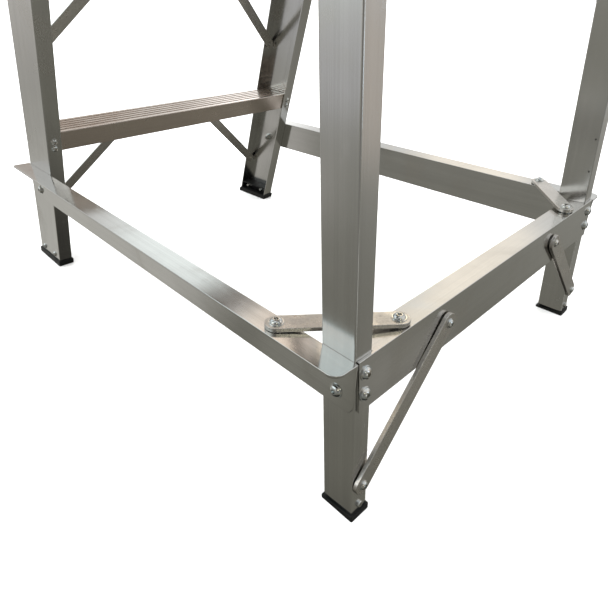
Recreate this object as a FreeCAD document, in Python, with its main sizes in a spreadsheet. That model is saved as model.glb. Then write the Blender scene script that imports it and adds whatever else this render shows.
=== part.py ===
"""Bolted aluminium work platform with two steps, a planked deck and a guardrail.

Row frame: +X points to the rear, the climber faces +X, +Y is the climber's left, +Z is up.
The origin is on the floor, in the middle of the whole object.  Millimetres throughout.

Each side of the object is one flat frame: a channel stile and a tube leg with their outer
faces in one plane.  That plane leans inwards going up and toes in towards the front.  The
right side frame is modelled in its own coordinates (x to the rear, y inwards, z up in the
plane), and the left side is its mirror image.
"""
import FreeCAD, Part
import math
import os

Vector, Rotation, Placement = FreeCAD.Vector, FreeCAD.Rotation, FreeCAD.Placement
X_AXIS, Y_AXIS, Z_AXIS = Vector(1, 0, 0), Vector(0, 1, 0), Vector(0, 0, 1)

SIZES = {
    # stance
    "base_wide": 636.0,         # over the rear legs, at the floor
    "rear_face_x": 477.2,       # rear faces of the rear legs, at the floor
    "stile_back": 852.0,        # from there to the rear faces of the stiles, at the floor
    "side_lean": 2.0,           # degrees, inward lean of a side frame
    "toe_in": 0.65,             # degrees, a side frame turns inwards towards the front
    "leg_lean": 5.0,            # degrees from upright, in the side frame
    "stile_lean": 19.7,         # degrees from upright, in the side frame
    # sections
    "leg_deep": 44.0, "leg_narrow": 26.0, "leg_wall": 2.0,
    "web_deep": 99.0, "channel_flange": 26.0, "channel_wall": 2.5,
    "angle_tall": 63.0, "angle_flange": 32.0, "angle_wall": 3.0, "rear_flange": 34.0,
    "flat_wide": 25.0, "flat_thick": 5.0, "brace_wide": 25.0, "brace_thick": 5.0,
    "tie_wide": 20.0, "tie_thick": 3.0,
    "tube_radius": 15.0, "knee_radius": 12.5, "tube_wall": 1.6,
    # heights
    "step_rise": 300.0, "step_tall": 35.0, "step_wall": 2.2, "step_top_wall": 3.6,
    "rail_top": 221.0, "deck_rail_top": 865.0, "deck_plank_tall": 35.0, "deck_plank_deep": 112.0,
    "deck_plank_gap": 3.0, "deck_front_x": 640.0, "deck_rear_x": 60.0,
    "guard_top": 1900.0, "knee_height": 1400.0, "back_rail_height": 1790.0, "guard_foot": 798.0,
    "guard_front_x": 515.0, "guard_rear_x": 150.0, "guard_bend": 90.0,
    # feet
    "leg_pad_thick": 8.0, "stile_pad_thick": 12.0, "pad_lip": 2.4,
    "leg_plug_tall": 32.0, "stile_insert_top": 34.0, "fit_gap": 0.4,
    # fasteners
    "big_shank": 3.9, "big_head": 8.4, "big_head_tall": 4.4,
    "mid_shank": 2.9, "mid_head": 6.3, "mid_head_tall": 3.3,
    "small_shank": 2.4, "small_head": 4.3, "small_head_tall": 2.7,
    "hole_gap": 0.3,
    # rounded edges
    "edge_round": 0.6, "tube_corner": 1.8, "web_corner": 1.5, "tread_round": 1.2,
    "flange_corner_rear": 12.0, "flange_corner_front": 7.0, "upright_corner": 8.0,
}

doc = FreeCAD.newDocument("work_platform")
sheet = doc.addObject("Spreadsheet::Sheet", "Sizes")
for row, (alias, value) in enumerate(SIZES.items(), start=1):
    sheet.set("A%d" % row, alias)
    sheet.set("B%d" % row, str(value))
    sheet.setAlias("B%d" % row, alias)
doc.recompute()

nodes = {}

past = 10.0     # how far a cutting tool reaches beyond what it cuts
touch = 0.1     # clearance between two pieces that rest on each other
groove_share = 0.5
groove_floor = 1.4


def size(alias):
    """Value of one driving dimension."""
    return float(sheet.get(alias))


def turned(axis, degrees, base=Vector(0, 0, 0)):
    return Placement(base, Rotation(axis, degrees))


# ---------------------------------------------------------------- frames of reference
lean_sin = math.sin(math.radians(size("side_lean")))
lean_cos = math.cos(math.radians(size("side_lean")))
toe_sin = math.sin(math.radians(size("toe_in")))
stile_sin = math.sin(math.radians(size("stile_lean")))
stile_cos = math.cos(math.radians(size("stile_lean")))
stile_slope = stile_sin / stile_cos
leg_cos = math.cos(math.radians(size("leg_lean")))
leg_slope = math.tan(math.radians(size("leg_lean")))

side_frame = Placement(Vector(size("rear_face_x"), -size("base_wide") / 2, 0),
                       Rotation(Z_AXIS, -size("toe_in")) * Rotation(X_AXIS, -size("side_lean")))
leg_frame = turned(Y_AXIS, -size("leg_lean"))
stile_frame = turned(Y_AXIS, size("stile_lean"), Vector(-size("stile_back"), 0, 0))
stile_world = side_frame * stile_frame


def rear_frame_at(height):
    """Frame of a cross rail: x out of the legs' rear faces, which lean and toe in."""
    push = (size("leg_narrow") + height * lean_sin) * toe_sin + 0.02
    return turned(Y_AXIS, -size("leg_lean"), Vector(size("rear_face_x") + push, 0, 0))


def stile_height(height, across=0.0):
    """Distance along a stile of a point at this height, so far across its web."""
    return (height + across * stile_sin) / stile_cos


def stile_line_x():
    """Row x at which the line of the stiles' rear faces, half way up, meets the floor."""
    middle = stile_world.multVec(Vector(0, size("channel_flange") / 2, stile_height(1.5 * size("step_rise"))))
    return middle.x - middle.z * stile_slope


def outer_half(along, height):
    """Half the width over the side frames, this far in front of the rear faces."""
    return size("base_wide") / 2 - along * toe_sin - height * lean_sin


def leg_half(height, in_front=0.0):
    """Half the width over the legs, so far in front of their rear faces."""
    return outer_half(leg_slope * height + in_front, height)


# ---------------------------------------------------------------- modelling helpers
def block(name, lengths, base=(0, 0, 0), frame=Placement()):
    """Part::Box.  Each length is an alias or expression of the sheet, or a plain number."""
    box = doc.addObject("Part::Box", name)
    for prop, length in zip(("Length", "Width", "Height"), lengths):
        if isinstance(length, str):
            box.setExpression(prop, length)
        else:
            setattr(box, prop, length)
    box.Placement = frame * Placement(Vector(*base), Rotation())
    return box


def rod(name, radius, length, start, direction, frame=Placement()):
    """Part::Cylinder from a start point along a direction."""
    cylinder = doc.addObject("Part::Cylinder", name)
    if isinstance(radius, str):
        cylinder.setExpression("Radius", radius)
    else:
        cylinder.Radius = radius
    cylinder.Height = length
    cylinder.Placement = frame * Placement(Vector(*start), Rotation(Z_AXIS, Vector(*direction)))
    return cylinder


def fuse(name, shapes):
    joined = doc.addObject("Part::MultiFuse", name)
    joined.Shapes = shapes
    joined.Refine = True
    return joined


def common(name, first, second):
    both = doc.addObject("Part::MultiCommon", name)
    both.Shapes = [first, second]
    return both


def cut(name, base, tools):
    """Part::Cut of one tool, or of several fused ones."""
    result = doc.addObject("Part::Cut", name)
    result.Base = base
    result.Tool = tools[0] if len(tools) == 1 else fuse(name + "_tools", tools)
    result.Refine = True
    return result


def rounded(name, base, rounds, frame=Placement()):
    """Part::Fillet.  Each round is a radius and a test of an edge's middle and box."""
    doc.recompute()
    picked = {}
    for radius, chosen in rounds:
        for number, edge in enumerate(base.Shape.Edges, start=1):
            if number not in picked and chosen(edge.CenterOfMass, edge.BoundBox):
                picked[number] = radius
    fillet = doc.addObject("Part::Fillet", name)
    fillet.Base = base
    fillet.Edges = [(number, radius, radius) for number, radius in picked.items()]
    fillet.Placement = frame
    return fillet


def near(value, target):
    return abs(value - target) < 1e-3


def keep(name, piece, frame=None):
    """Names a finished piece, puts it in place and lists it as a node."""
    piece.Label = name
    if frame is not None:
        piece.Placement = frame
    nodes[name] = piece
    return piece


def keep_pair(name, piece, frame=None):
    """Keeps a right-hand piece and its mirror image on the left."""
    keep("right_" + name, piece, frame)
    twin = doc.addObject("Part::Mirroring", "left_" + name)
    twin.Source = piece
    twin.Normal = Y_AXIS
    keep("left_" + name, twin)


def keep_group(name, shapes, frame=Placement(), paired=True):
    """One node of identical loose solids, with their mirror images when paired."""
    placed = [shape.transformGeometry(frame.toMatrix()) for shape in shapes]
    if paired:
        placed += [shape.mirror(Vector(0, 0, 0), Y_AXIS) for shape in placed]
    group = doc.addObject("Part::Feature", name)
    group.Shape = Part.makeCompound(placed)
    keep(name, group)


def angle_bar(name, length, flange_side):
    """Angle section along x: upright flange y -wall..0, its top at z 0, flange to one side."""
    wall = size("angle_wall")
    upright = block(name + "_upright", (length, "Sizes.angle_wall", "Sizes.angle_tall"),
                    (0, -wall, -size("angle_tall")))
    start = -wall if flange_side > 0 else -size("angle_flange")
    top = block(name + "_flange", (length, "Sizes.angle_flange", "Sizes.angle_wall"), (0, start, -wall))
    return fuse(name + "_section", [upright, top])


def long_bar_edge(least):
    """Test for the lengthwise edges of a section, apart from the one inside its corner."""
    def chosen(at, box):
        inside = near(at.z, -size("angle_wall")) and near(abs(at.y), size("angle_wall"))
        return box.XLength > least and box.ZLength < 1e-3 and not inside
    return chosen


def flat_bar(name, wide, thick, ends, hole):
    """Flat bar lying in the x-y plane with round ends about two holes, thickness upwards."""
    first, second = Vector(*ends[0]), Vector(*ends[1])
    run = second - first
    radius = size(wide) / 2
    along = Placement(first, Rotation(X_AXIS, run))
    middle = block(name + "_run", (run.Length, "Sizes." + wide, "Sizes." + thick), (0, -radius, 0), along)
    tips = [rod(name + "_tip", "Sizes.%s / 2" % wide, size(thick), end, (0, 0, 1)) for end in ends]
    holes = [rod(name + "_hole", hole, size(thick) + 2, (end[0], end[1], -1), (0, 0, 1)) for end in ends]
    blank = fuse(name + "_blank", [middle] + tips)
    soft = rounded(name + "_soft", blank, [(size("edge_round"), lambda at, box: near(box.ZLength, 0))])
    return cut(name, soft, holes)


# ---------------------------------------------------------------- fastener shapes
def place(shape, point, direction):
    """Copy of a shape made along +Z, moved to a point and turned to a direction."""
    copy = shape.copy()
    copy.Placement = Placement(Vector(*point), Rotation(Z_AXIS, Vector(*direction)))
    return copy


def hexagon(across_flats, height, base):
    corner = across_flats / math.sqrt(3)
    points = [Vector(corner * math.cos(math.radians(60 * side)),
                     corner * math.sin(math.radians(60 * side)), base) for side in range(7)]
    return Part.Face(Part.makePolygon(points)).extrude(Vector(0, 0, height))


def button_bolt(kind, length, socket):
    """Domed bolt seated on z 0 with its shank down; the head has a thin rim and a hex socket."""
    shank, head, tall = size(kind + "_shank"), size(kind + "_head"), size(kind + "_head_tall")
    rim, foot, flat_top = 0.24 * tall, 0.84 * head, 0.40 * head
    shoulder = Vector(0.70 * head, 0, 0.72 * tall)
    outline = Part.Wire([
        Part.makePolygon([Vector(0, 0, tall), Vector(0, 0, -length), Vector(shank, 0, -length),
                          Vector(shank, 0, 0), Vector(head, 0, 0), Vector(head, 0, 0.6 * rim),
                          Vector(0.97 * head, 0, rim), Vector(foot, 0, rim)]),
        Part.Arc(Vector(foot, 0, rim), shoulder, Vector(flat_top, 0, tall)).toShape(),
        Part.LineSegment(Vector(flat_top, 0, tall), Vector(0, 0, tall)).toShape()])
    turned_body = Part.Face(outline).revolve(Vector(0, 0, 0), Z_AXIS, 360)
    return turned_body.cut(hexagon(socket, tall, 0.35 * tall))


def pan_screw(length):
    """Small pan-head screw with a cross recess, seated on z 0."""
    shank, head, tall = size("small_shank"), size("small_head"), size("small_head_tall")
    body = Part.makeCylinder(shank, length, Vector(0, 0, -length)).fuse(Part.makeCylinder(head, tall))
    rounded = body.removeSplitter()
    top = [edge for edge in rounded.Edges if abs(edge.BoundBox.ZMin - tall) < 1e-6]
    rounded = rounded.makeFillet(0.35 * tall, top)
    slot_long, slot_wide = 1.1 * head, 0.22 * head
    slots = [Part.makeBox(a, b, tall, Vector(-a / 2, -b / 2, 0.5 * tall))
             for a, b in ((slot_long, slot_wide), (slot_wide, slot_long))]
    return rounded.cut(slots[0]).cut(slots[1])


thread_gap = 0.05
sleeve_wall = 1.2
rivet_shank, rivet_head = 2.4, 4.6


def flange_nut(kind, across_flats, tall):
    """Hex nut with a thin round flange, its seat on z 0 and its body upwards."""
    bore = size(kind + "_shank") + thread_gap
    flange = Part.makeCylinder(0.62 * across_flats, 1.2)
    return flange.fuse(hexagon(across_flats, tall, 0)).removeSplitter().cut(
        Part.makeCylinder(bore, tall + 2, Vector(0, 0, -1)))


def rivet_nut(kind, deep, wall):
    """Blind threaded sleeve set flush in a wall; its mouth is on z 0 and its body below."""
    bore = size(kind + "_shank") + thread_gap
    sleeve = Part.makeCylinder(bore + sleeve_wall, deep, Vector(0, 0, -deep))
    bulge = Part.makeCylinder(bore + 2 * sleeve_wall, 3.0, Vector(0, 0, -wall - 3.0))
    return sleeve.fuse(bulge).removeSplitter().cut(
        Part.makeCylinder(bore, deep + 2, Vector(0, 0, -deep - 1)))


def blind_rivet(grip):
    """Domed rivet seated on z 0, its shank through the grip and its set end beyond."""
    dome = Part.makeSphere(6.2, Vector(0, 0, -4.2)).common(Part.makeCylinder(rivet_head, 3))
    body = Part.makeCylinder(rivet_shank, grip, Vector(0, 0, -grip))
    tail = Part.makeCylinder(3.4, 3.2, Vector(0, 0, -grip - 3.2))
    return dome.fuse([body, tail]).removeSplitter()


def ring(outer, inner, thick):
    """Flat washer or spacer, from z 0 upwards."""
    return Part.makeCylinder(outer, thick).cut(Part.makeCylinder(inner, thick))


# ---------------------------------------------------------------- where the fasteners sit
big_hole = size("big_shank") + size("hole_gap")
mid_hole = size("mid_shank") + size("hole_gap")
small_hole = size("small_shank") + 0.1
rivet_hole = rivet_shank + 0.3
sleeve_hole = size("big_shank") + sleeve_wall + 2 * thread_gap
mid_sleeve_hole = size("mid_shank") + sleeve_wall + 2 * thread_gap
wall = size("angle_wall")
flange_mid = size("channel_flange") / 2
leg_mid = size("leg_narrow") / 2

side_bolt_height = size("rail_top") - 0.70 * size("angle_tall")
rear_bolt_shares = (0.27, 0.675)
rear_bolt_heights = [size("rail_top") - share * size("angle_tall") for share in rear_bolt_shares]
deck_rear_rail_top = size("deck_rail_top") - 7.0
deck_rear_bolt_heights = [deck_rear_rail_top - share * size("angle_tall") for share in rear_bolt_shares]
brace_top_height, brace_top_half, brace_top_lift = 195.5, 152.0, 4.3
brace_low_height, brace_low_lift = 52.0, 0.6
foot_screw_height = 18.0
leg_pilot_heights = (275.0, 326.0)
step_heights = [size("step_rise"), 2 * size("step_rise")]
step_bolt_drops = (15.4, 28.0)
tie_drop = 192.0
tie_bolt_drop = 25.0
tie_reach = 189.0
deck_bolt_heights = (815.0, 848.0)
guard_bolt_heights = (812.0, 850.0)
stile_foot_bolt_height = 24.0
stile_foot_bolt_offsets = (-28.0, 28.0)
stile_foot_web = 4.0


def leg_centre(height):
    """x of the middle of a leg, in the side frame."""
    return -leg_slope * height - size("leg_deep") / 2


def stile_centre(height):
    """x of the middle of a stile's web, in the side frame."""
    return stile_slope * height - size("stile_back") - size("web_deep") / stile_cos / 2


def stile_foot_bolt_places():
    """x of the bolts through a stile's foot, in the side frame."""
    return [stile_centre(stile_foot_bolt_height) + offset for offset in stile_foot_bolt_offsets]


# ---------------------------------------------------------------- rear legs and their feet
leg_top = size("deck_rail_top") - wall - 0.5
leg_reach = 1000.0


def leg_tube():
    outer_box = block("leg_box", ("Sizes.leg_deep", "Sizes.leg_narrow", leg_reach))
    outer = rounded("leg_outside", outer_box,
                    [(size("tube_corner"), lambda at, box: near(box.ZLength, leg_reach))],
                    leg_frame * Placement(Vector(-size("leg_deep"), 0, -40), Rotation()))
    hollow = block("leg_hollow", ("Sizes.leg_deep - 2 * Sizes.leg_wall",
                                  "Sizes.leg_narrow - 2 * Sizes.leg_wall", leg_reach + 20),
                   (size("leg_wall") - size("leg_deep"), size("leg_wall"), -50), leg_frame)
    tube = cut("leg_section", outer, [hollow])
    bottom = size("leg_pad_thick") + leg_mid * lean_sin
    slab = block("leg_slab", (400, 100, leg_top - bottom), (-300, -30, bottom))
    length = common("leg_length", tube, slab)
    into = size("leg_wall") + 2
    holes = [rod("leg_side_hole", sleeve_hole, into, (leg_centre(height), -1, height), (0, 1, 0))
             for height in (side_bolt_height,) + deck_bolt_heights]
    rear_holes = [(sleeve_hole + 0.9, height / leg_cos)
                  for height in rear_bolt_heights + deck_rear_bolt_heights]
    rear_holes += [(mid_sleeve_hole + 0.6, brace_low_height), (small_hole, foot_screw_height)]
    for radius, height in rear_holes:
        holes.append(rod("leg_rear_hole", radius, into + 1, (1, leg_mid, height), (-1, 0, 0), leg_frame))
    for height in leg_pilot_heights:
        holes.append(rod("leg_pilot_hole", 1.3, into + 1, (-5, size("leg_narrow") + 1, height),
                         (0, -1, 0), leg_frame))
    keep_pair("rear_leg", cut("leg", length, holes), side_frame)


def leg_foot():
    lip, gap, tube_wall = size("pad_lip"), size("fit_gap"), size("leg_wall")
    pad_tall = size("leg_pad_thick") + 2 * past
    pad_box = block("leg_pad_box", ("Sizes.leg_deep + 2 * Sizes.pad_lip",
                                    "Sizes.leg_narrow + 2 * Sizes.pad_lip", pad_tall))
    pad = rounded("leg_pad", pad_box, [(size("tube_corner"), lambda at, box: near(box.ZLength, pad_tall))],
                  leg_frame * Placement(Vector(-size("leg_deep") - lip, -lip, -2 * past), Rotation()))
    plug = block("leg_plug", ("Sizes.leg_deep - 2 * Sizes.leg_wall - 2 * Sizes.fit_gap",
                              "Sizes.leg_narrow - 2 * Sizes.leg_wall - 2 * Sizes.fit_gap",
                              "Sizes.leg_plug_tall"),
                 (tube_wall + gap - size("leg_deep"), tube_wall + gap, 0), leg_frame)
    screw_hole = rod("leg_plug_hole", small_hole, 20, (1, leg_mid, foot_screw_height), (-1, 0, 0), leg_frame)
    trimmed = block("leg_pad_trim", (200, 100, 40),
                    (-120, -30, size("leg_pad_thick") + leg_mid * lean_sin - 0.02))
    flat_pad = cut("leg_flat_pad", pad, [trimmed])
    body = fuse("leg_foot_body", [flat_pad, cut("leg_drilled_plug", plug, [screw_hole])])
    body.Placement = side_frame
    floor = block("leg_floor", (400, 400, 100),
                  (size("rear_face_x") - 200, -size("base_wide") / 2 - 200, -100))
    keep_pair("rear_leg_foot", cut("leg_foot", body, [floor]))


# ---------------------------------------------------------------- stiles and their feet
def stile():
    outer_box = block("stile_box", ("Sizes.web_deep", "Sizes.channel_flange", leg_reach + 200))

    def lengthwise(at, box):
        return near(box.ZLength, leg_reach + 200)

    outer = rounded("stile_outside", outer_box,
                    [(size("web_corner"), lambda at, box: lengthwise(at, box) and near(at.y, 0)),
                     (size("edge_round"), lengthwise)],
                    stile_frame * Placement(Vector(-size("web_deep"), 0, -80), Rotation()))
    hollow = block("stile_hollow", ("Sizes.web_deep - 2 * Sizes.channel_wall", "Sizes.channel_flange",
                                    leg_reach + 220),
                   (size("channel_wall") - size("web_deep"), size("channel_wall"), -90), stile_frame)
    channel = cut("stile_section", outer, [hollow])
    bottom = size("stile_pad_thick") + flange_mid * lean_sin
    slab = block("stile_slab", (900, 100, leg_top - bottom), (-1200, -30, bottom))
    length = common("stile_length", channel, slab)
    into = size("channel_wall") + 2
    holes = [rod("stile_side_hole", big_hole, into, (stile_centre(height), -1, height), (0, 1, 0))
             for height in (side_bolt_height,) + deck_bolt_heights]
    for x in stile_foot_bolt_places():
        holes.append(rod("stile_foot_hole", mid_hole, into, (x, -1, stile_foot_bolt_height), (0, 1, 0)))
    web = size("web_deep")
    for top in step_heights:
        flange_holes = []
        for drop in step_bolt_drops:
            flange_holes += [(mid_hole, 1, stile_height(top - drop)),
                             (mid_hole, -web - 1, stile_height(top - drop, -web))]
        flange_holes.append((rivet_hole - 0.1, -web - 1, stile_height(top - tie_drop, -web)))
        for radius, x, up in flange_holes:
            holes.append(rod("stile_flange_hole", radius, into, (x, flange_mid, up),
                             (-math.copysign(1, x), 0, 0), stile_frame))
    keep_pair("stile", cut("stile", length, holes), side_frame)


def stile_foot():
    lip, gap, metal = size("pad_lip"), size("fit_gap"), size("channel_wall")
    pad_top = size("stile_pad_thick") + flange_mid * lean_sin
    side_gap = metal + gap
    pad_block = block("stile_pad_block", ("Sizes.web_deep + 2 * Sizes.pad_lip * 0.9",
                                          "Sizes.channel_flange + 2 * Sizes.pad_lip", 200),
                      (-size("web_deep") - 0.9 * lip, -lip, -100), stile_frame)
    pad_slab = block("stile_pad_slab", (400, 200, pad_top + 20), (-1200, -60, -20.02))
    pad = common("stile_pad", pad_block, pad_slab)
    insert_block = block("stile_insert_block", ("Sizes.web_deep - 2 * Sizes.channel_wall - 2 * Sizes.fit_gap",
                                                size("channel_flange") - side_gap, 200),
                         (side_gap - size("web_deep"), side_gap, -100), stile_frame)
    insert_slab = block("stile_insert_slab", (400, 200, size("stile_insert_top") - pad_top + 0.1),
                        (-1200, -60, pad_top - 0.1))
    insert = common("stile_insert", insert_block, insert_slab)
    skin = 3.0
    recess_block = block("stile_recess_block", (size("web_deep") - 2 * (side_gap + skin), 60, 200),
                         (side_gap + skin - size("web_deep"), side_gap + stile_foot_web, -100), stile_frame)
    recess_slab = block("stile_recess_slab", (400, 200, size("stile_insert_top") - pad_top - skin - 1.0),
                        (-1200, -60, pad_top + 1.0))
    recess = common("stile_recess", recess_block, recess_slab)
    holes = [rod("stile_insert_hole", mid_hole, 12, (x, -1, stile_foot_bolt_height), (0, 1, 0))
             for x in stile_foot_bolt_places()]
    body = cut("stile_foot_body", fuse("stile_foot_blank", [pad, insert]), [recess] + holes)
    body.Placement = side_frame
    floor = block("stile_floor", (600, 600, 100),
                  (size("rear_face_x") - size("stile_back") - 400, -size("base_wide") / 2 - 200, -100))
    keep_pair("stile_foot", cut("stile_foot", body, [floor]))


# ---------------------------------------------------------------- base rails, gussets, braces
def base_side_rail():
    """Angle on the outer faces of stile and leg, its top flange outwards."""
    rear_end = -15.0
    front_end = stile_slope * size("rail_top") - size("stile_back") - size("web_deep") / stile_cos - 4.0
    length = rear_end - front_end
    section = angle_bar("base_side", length, -1)
    reach = size("angle_flange")

    def flange_corner(at, box):
        return near(box.ZLength, wall) and near(at.y, -reach)

    def upright_corner(at, box):
        return near(box.YLength, wall) and near(box.XLength, 0) and near(at.z, -size("angle_tall"))

    corners = rounded("base_side_corners", section, [
        (size("flange_corner_rear"), lambda at, box: flange_corner(at, box) and at.x > length / 2),
        (size("flange_corner_front"), flange_corner),
        (size("upright_corner"), upright_corner)])
    corner = rounded("base_side_rounded", corners, [(size("edge_round"), long_bar_edge(0.6 * length))],
                     Placement(Vector(front_end, 0, size("rail_top")), Rotation()))
    gusset_x, gusset_y = gusset_ends_in_side()
    holes = [rod("base_side_hole", big_hole, wall + 4, (x, -wall - 2, side_bolt_height), (0, 1, 0))
             for x in (leg_centre(side_bolt_height), stile_centre(side_bolt_height))]
    holes.append(rod("base_side_gusset_hole", big_hole + 0.2, wall + 6,
                     (gusset_x, gusset_y, size("rail_top") - wall - 3), (0, 0, 1)))
    keep_pair("base_side_rail", cut("base_side_rail", corner, holes), side_frame)


gusset_front = (size("rear_face_x") - 115.4, -324.0)
gusset_rear = (size("rear_face_x") - 30.4, -225.0)
gusset_seat = size("rail_top") * lean_cos + size("angle_flange") * lean_sin + 0.25


def gusset_ends_in_side():
    """The gusset's front bolt in the side frame's own x and y."""
    local = side_frame.inverse().multVec(Vector(gusset_front[0], gusset_front[1], size("rail_top")))
    return local.x, local.y


rear_rail_inset = 3.5


def rear_rail(name, top_height, flange_holes, face_holes):
    """Angle on the rear faces of both legs, its top flange inwards between the legs."""
    rear_frame = rear_frame_at(top_height)
    top = top_height / leg_cos
    half = leg_half(top_height - size("angle_tall") / 2) - rear_rail_inset
    inner_half = leg_half(top_height, size("rear_flange")) - size("leg_narrow") - 0.6
    upright = block(name + "_upright", ("Sizes.angle_wall", 2 * half, "Sizes.angle_tall"),
                    (0, -half, top - size("angle_tall")), rear_frame)
    flange = block(name + "_flange", ("Sizes.rear_flange", 2 * inner_half, "Sizes.angle_wall"),
                   (wall - size("rear_flange"), -inner_half, top - wall), rear_frame)
    blank = fuse(name + "_blank", [upright, flange])
    blank = rounded(name + "_section", blank,
                    [(size("edge_round"), lambda at, box: near(box.YLength, 2 * half))])
    holes = []
    for side in (-1, 1):
        for height in face_holes:
            holes.append(rod(name + "_hole", big_hole, wall + 2,
                             (-1, side * (leg_half(height) - leg_mid), height / leg_cos), (1, 0, 0),
                             rear_frame))
        if flange_holes:
            holes.append(rod(name + "_gusset_hole", big_hole + 0.3, 14,
                             (gusset_rear[0], side * gusset_rear[1], gusset_seat - 11), (0, 0, 1)))
            holes.append(rod(name + "_brace_hole", mid_hole + 0.3, wall + 2,
                             (-1, side * brace_top_half, brace_top_height), (1, 0, 0), rear_frame))
    keep(name, cut(name, blank, holes))


def gusset():
    ends = [(gusset_front[0], gusset_front[1], 0), (gusset_rear[0], gusset_rear[1], 0)]
    bar = flat_bar("gusset", "flat_wide", "flat_thick", ends, big_hole)
    keep_pair("corner_gusset", bar, Placement(Vector(0, 0, gusset_seat), Rotation()))


def brace_ends():
    """Height and y of a brace's bolts: on the rear rail, then on the leg."""
    return [(brace_top_height, -brace_top_half), (brace_low_height, leg_mid - leg_half(brace_low_height))]


def brace_frame():
    """The rear rail's frame, moved and tilted until x 0 is the inner face of the right brace."""
    high, low = [Vector(0, y, z) for z, y in brace_ends()]
    lifted = high - low + Vector(brace_top_lift - brace_low_lift, 0, 0)
    tilt = Placement(low + Vector(brace_low_lift, 0, 0), Rotation(high - low, lifted))
    return rear_frame_at(size("rail_top")) * tilt * Placement(-low, Rotation())


def rear_brace():
    """Flat bar outside the rear rail's face, from the rail down to the leg near its foot."""
    bar = flat_bar("rear_brace", "brace_wide", "brace_thick", [(z, y, 0) for z, y in brace_ends()], mid_hole)
    upright = turned(Y_AXIS, -90, Vector(size("brace_thick"), 0, 0))
    keep_pair("rear_brace", bar, brace_frame() * upright)


# ---------------------------------------------------------------- steps and their ties
skirt_inset = size("channel_wall") + size("fit_gap")
step_grooves = 5


def step(name, top):
    """Ribbed channel tread between the stiles, its skirts parallel to their flanges."""
    clear = size("web_deep") - 2 * skirt_inset
    tread_wall, skirt = size("step_top_wall"), size("step_wall")
    base_x = stile_line_x()
    world_stile = turned(Y_AXIS, size("stile_lean"), Vector(base_x, 0, 0))
    along = size("stile_back") + size("web_deep") / stile_cos - stile_slope * top
    half = outer_half(along, top) - size("channel_wall") - 0.7
    bottom = top - size("step_tall")
    cut_wide = 2 * (half + past)
    outside = common(name + "_blank",
                     block(name + "_lean", (clear, 2 * half, 1000), (-skirt_inset - clear, -half, 0),
                           world_stile),
                     block(name + "_slab", (600, 2 * half, "Sizes.step_tall"), (base_x - 200, -half, bottom)))
    inside = common(name + "_inside",
                    block(name + "_inner_lean", (clear - 2 * skirt, cut_wide, 1000),
                          (-skirt_inset - clear + skirt, -half - past, 0), world_stile),
                    block(name + "_inner_slab", (600, cut_wide, size("step_tall") - tread_wall + past),
                          (base_x - 200, -half - past, bottom - past)))

    def lengthwise(at, box):
        return near(box.YLength, 2 * half)

    outside = rounded(name + "_outside", outside,
                      [(size("tread_round"), lambda at, box: lengthwise(at, box) and near(at.z, top)),
                       (size("edge_round"), lengthwise)])
    front_edge = base_x + stile_slope * top - (skirt_inset + clear) / stile_cos
    wide = clear / stile_cos
    pitch = wide / (step_grooves + 1)
    tools = [inside]
    for number in range(step_grooves):
        tools.append(block(name + "_groove", (pitch * groove_share, cut_wide, 2),
                           (front_edge + pitch * (number + 0.75), -half - past, top - groove_floor)))
    web = size("web_deep")
    for side in (-1, 1):
        for drop in step_bolt_drops:
            for across, inward in ((0, -1), (-web, 1)):
                up = stile_height(top - drop, across)
                bolt_y = stile_world.multVec(Vector(across, flange_mid, up)).y
                tools.append(rod(name + "_hole", mid_hole + 0.7, 8, (across + inward, side * bolt_y, up),
                                 (inward, 0, 0), world_stile))
        rivet_at = stile_world.multVec(Vector(-web - 1, *tie_points(top)[1]))
        rivet_way = stile_world.Rotation.multVec(X_AXIS)
        tools.append(rod(name + "_tie_hole", rivet_hole, 8, (rivet_at.x, -side * rivet_at.y, rivet_at.z),
                         (rivet_way.x, -side * rivet_way.y, rivet_way.z)))
    keep(name, cut(name, outside, tools))


def tie_points(top):
    """Ends of a step tie in the stile's own y and z: on the stile's flange, then on the step."""
    across = -size("web_deep")
    return ((flange_mid, stile_height(top - tie_drop, across)),
            (tie_reach, stile_height(top - tie_bolt_drop, across)))


tie_face = -size("web_deep") + skirt_inset + size("step_wall") + 0.3


def step_tie(name, top):
    low, high = tie_points(top)
    ends = [(low[1], low[0], 0), (high[1], high[0], 0)]
    bar = flat_bar(name, "tie_wide", "tie_thick", ends, rivet_hole)
    upright = turned(Y_AXIS, -90, Vector(tie_face + size("tie_thick"), 0, 0))
    keep_pair(name, bar, stile_world * upright)


# ---------------------------------------------------------------- deck
def deck_side_rail():
    """Angle on the outer faces at the top, its flange inwards over the ends of stile and leg."""
    length = size("deck_front_x") - size("deck_rear_x")
    section = angle_bar("deck_side", length, 1)
    section = rounded("deck_side_rounded", section, [(size("edge_round"), long_bar_edge(0.6 * length))],
                      Placement(Vector(-size("deck_front_x"), 0, size("deck_rail_top")), Rotation()))
    holes = []
    for height in deck_bolt_heights:
        for x in (leg_centre(height), stile_centre(height)):
            holes.append(rod("deck_side_hole", big_hole, wall + 4, (x, -wall - 2, height), (0, 1, 0)))
    for height in guard_bolt_heights:
        for x in (size("guard_front_x"), size("guard_rear_x")):
            holes.append(rod("deck_guard_hole", mid_hole, wall + 4, (-x, -wall - 2, height), (0, 1, 0)))
    for x in plank_rivet_places():
        holes.append(rod("deck_rivet_hole", rivet_hole, wall + 4,
                         (-x, plank_rivet_inset, size("deck_rail_top") + 2), (0, 0, -1)))
    keep_pair("deck_side_rail", cut("deck_side_rail", section, holes), side_frame)


deck_planks, plank_grooves, plank_cells = 5, 8, 2
plank_rivet_shares, plank_rivet_inset = (0.25, 0.75), 14.0
plank_pitch = size("deck_plank_deep") + size("deck_plank_gap")
deck_seat = size("deck_rail_top") * lean_cos + 0.1


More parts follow.
